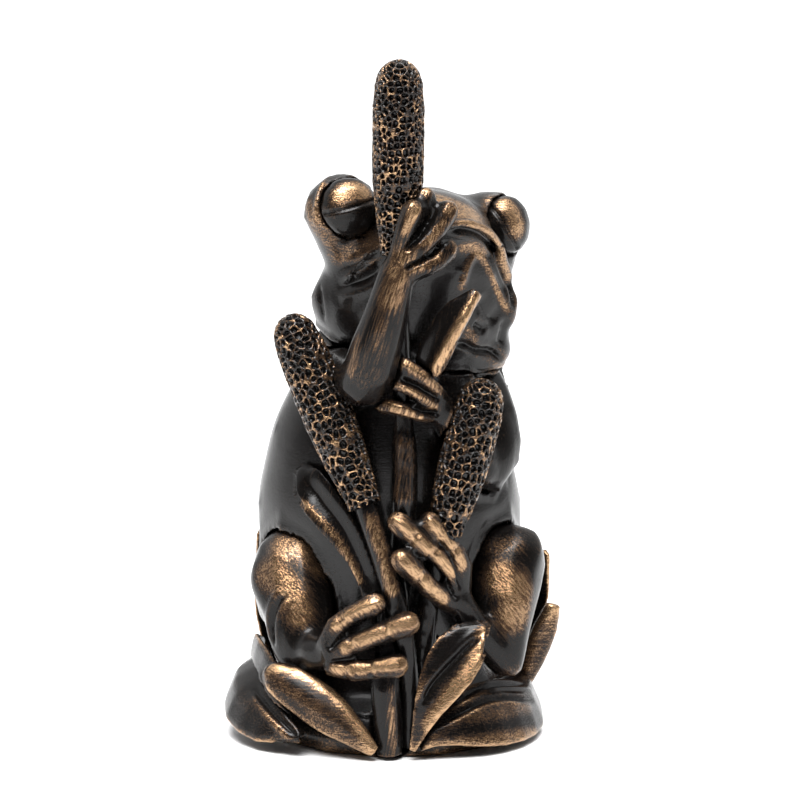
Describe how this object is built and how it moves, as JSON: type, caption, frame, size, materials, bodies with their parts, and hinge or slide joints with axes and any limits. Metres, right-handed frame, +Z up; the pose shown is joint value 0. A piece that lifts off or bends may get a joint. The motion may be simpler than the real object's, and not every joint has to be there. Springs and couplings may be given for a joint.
{
  "type": "frog stake topper",
  "caption": "Seated frog figure hugging cattails on a mound of leaves, with a blind sleeve in its underside that fits over the tip of a garden stake.",
  "frame": {"origin": "middle of the figure's outline, on the surface it stands on", "axes": "+Z up along the stake sleeve, -Y the way the frog faces, +X the frog's left"},
  "size_m": [0.0758, 0.0694, 0.15],
  "materials": {
    "dark_bronze": "semi-gloss black-brown patina over cast resin",
    "limb_bronze": "semi-gloss patina, raised parts rubbed with bronze",
    "leaf_bronze": "semi-gloss patina, edges and midribs rubbed with bronze",
    "cattail_bronze": "pitted, ridges rubbed with bronze and pits left black",
    "eye_bronze": "glossy patina, domes rubbed with bronze",
    "zinc_steel": "dull zinc plate"
  },
  "bodies": {
    "root": {"stake_sleeve": "zinc_steel", "right_stem": "leaf_bronze", "centre_stem": "leaf_bronze", "left_stem": "leaf_bronze", "centre_cattail": "cattail_bronze", "right_cattail": "cattail_bronze", "left_cattail": "cattail_bronze", "right_arm": "limb_bronze", "left_arm": "limb_bronze", "right_leg": "limb_bronze", "left_leg": "limb_bronze", "chin_leaf": "leaf_bronze", "flank_leaf": "leaf_bronze", "right_eye": "eye_bronze", "left_eye": "eye_bronze", "head": "dark_bronze", "right_base_leaf": "leaf_bronze", "right_blade_leaf": "leaf_bronze", "right_collar_leaf": "leaf_bronze", "left_fold_leaf": "leaf_bronze", "left_base_leaf": "leaf_bronze", "left_back_blade": "leaf_bronze", "left_back_leaf": "leaf_bronze", "right_back_leaf": "leaf_bronze", "right_rear_leaf": "leaf_bronze", "left_rear_leaf": "leaf_bronze", "torso": "dark_bronze", "base_mound": "dark_bronze"}
  },
  "joints": []
}
